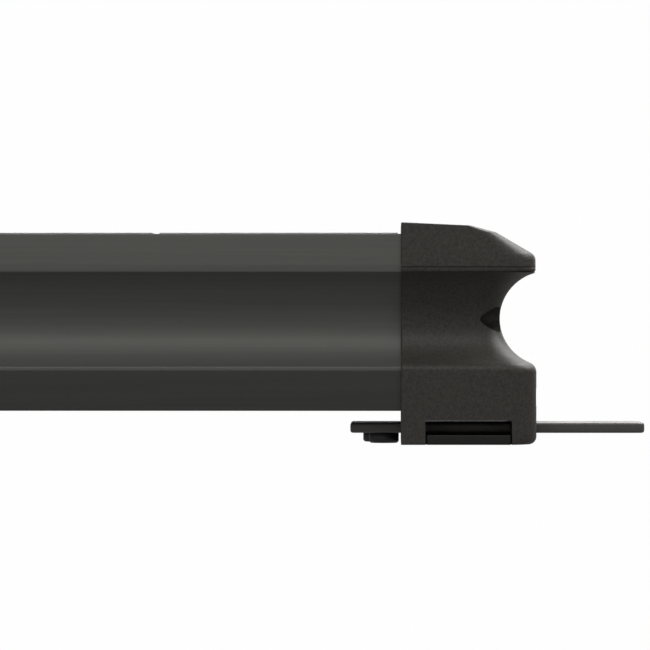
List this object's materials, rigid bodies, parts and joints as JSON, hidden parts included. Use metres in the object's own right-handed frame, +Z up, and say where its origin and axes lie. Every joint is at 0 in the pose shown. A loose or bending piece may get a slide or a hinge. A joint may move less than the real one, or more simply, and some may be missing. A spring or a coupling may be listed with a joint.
{
  "type": "led strip batten",
  "caption": "Long dark LED light batten: extruded housing with hollow sides, frosted windows on top, bevelled end caps and a sliding slotted bracket at each end.",
  "frame": {"origin": "middle of the batten on the plane its end caps stand on", "axes": "+X along the batten, -Y the front, +Z up, the way the light leaves"},
  "size_m": [1.1816, 0.105, 0.1071],
  "materials": {
    "housing_anodised": "satin dark grey anodised",
    "base_anodised": "satin dark grey anodised",
    "window_smoked": "frosted",
    "tray_black": "moulded",
    "board_white": "solder mask",
    "lens_clear": "polished",
    "emitter_resin": "cast resin",
    "cap_textured": "fine textured powder coat",
    "gasket_rubber": "matt",
    "keeper_grey": "satin powder coat",
    "bracket_black": "fine textured powder coat",
    "foot_nylon": "moulded",
    "screw_black": "black oxide",
    "panel_moulded": "fine texture",
    "connector_moulded": "moulded",
    "display_gloss": "gloss",
    "board_green": "solder mask",
    "button_rubber": "matt",
    "supply_case": "mill finish",
    "standoff_steel": "plated",
    "loom_sleeve": "braided"
  },
  "bodies": {
    "batten": {"base_profile": "base_anodised", "cap_screws": "screw_black", "control_board": "board_green", "data_inlet": "connector_moulded", "data_outlet": "connector_moulded", "display_window": "display_gloss", "driver_board": "board_green", "driver_screws": "screw_black", "driver_standoffs": "standoff_steel", "end_cap_left": "cap_textured", "end_cap_right": "cap_textured", "end_gasket_left": "gasket_rubber", "end_gasket_right": "gasket_rubber", "keeper_plate_left": "keeper_grey", "keeper_plate_right": "keeper_grey", "keeper_screws": "screw_black", "led_board_1": "board_white", "led_board_2": "board_white", "led_board_3": "board_white", "led_board_4": "board_white", "led_board_5": "board_white", "led_board_6": "board_white", "led_board_7": "board_white", "led_board_8": "board_white", "led_emitters": "emitter_resin", "lens_tray_1": "tray_black", "lens_tray_2": "tray_black", "lens_tray_3": "tray_black", "lens_tray_4": "tray_black", "lens_tray_5": "tray_black", "lens_tray_6": "tray_black", "lens_tray_7": "tray_black", "lens_tray_8": "tray_black", "lenses": "lens_clear", "panel_screws": "screw_black", "power_inlet": "connector_moulded", "power_outlet": "connector_moulded", "power_supply": "supply_case", "rear_panel": "panel_moulded", "upper_housing": "housing_anodised", "window_1": "window_smoked", "window_2": "window_smoked", "window_3": "window_smoked", "window_4": "window_smoked", "window_5": "window_smoked", "window_6": "window_smoked", "window_7": "window_smoked", "window_8": "window_smoked", "wiring_loom": "loom_sleeve"},
    "bracket_right": {"bracket_bar_right": "bracket_black", "bracket_feet_right": "foot_nylon", "foot_screws_right": "screw_black"},
    "bracket_left": {"bracket_bar_left": "bracket_black", "bracket_feet_left": "foot_nylon", "foot_screws_left": "screw_black"},
    "button_1": {"menu_button_1": "button_rubber"},
    "button_2": {"menu_button_2": "button_rubber"},
    "button_3": {"menu_button_3": "button_rubber"},
    "button_4": {"menu_button_4": "button_rubber"}
  },
  "joints": [
    {"name": "bracket_right_slide", "type": "slide", "parent": "batten", "child": "bracket_right", "axis": [1, 0, 0], "range_m": [-0.0534, 0]},
    {"name": "bracket_left_slide", "type": "slide", "parent": "batten", "child": "bracket_left", "axis": [-1, 0, 0], "range_m": [-0.0534, 0]},
    {"name": "button_1_press", "type": "slide", "parent": "batten", "child": "button_1", "axis": [0, -1, 0], "range_m": [0, 0.0008], "stiffness_N_per_m": 500, "springref_m": -0.0006},
    {"name": "button_2_press", "type": "slide", "parent": "batten", "child": "button_2", "axis": [0, -1, 0], "range_m": [0, 0.0008], "stiffness_N_per_m": 500, "springref_m": -0.0006},
    {"name": "button_3_press", "type": "slide", "parent": "batten", "child": "button_3", "axis": [0, -1, 0], "range_m": [0, 0.0008], "stiffness_N_per_m": 500, "springref_m": -0.0006},
    {"name": "button_4_press", "type": "slide", "parent": "batten", "child": "button_4", "axis": [0, -1, 0], "range_m": [0, 0.0008], "stiffness_N_per_m": 500, "springref_m": -0.0006}
  ]
}
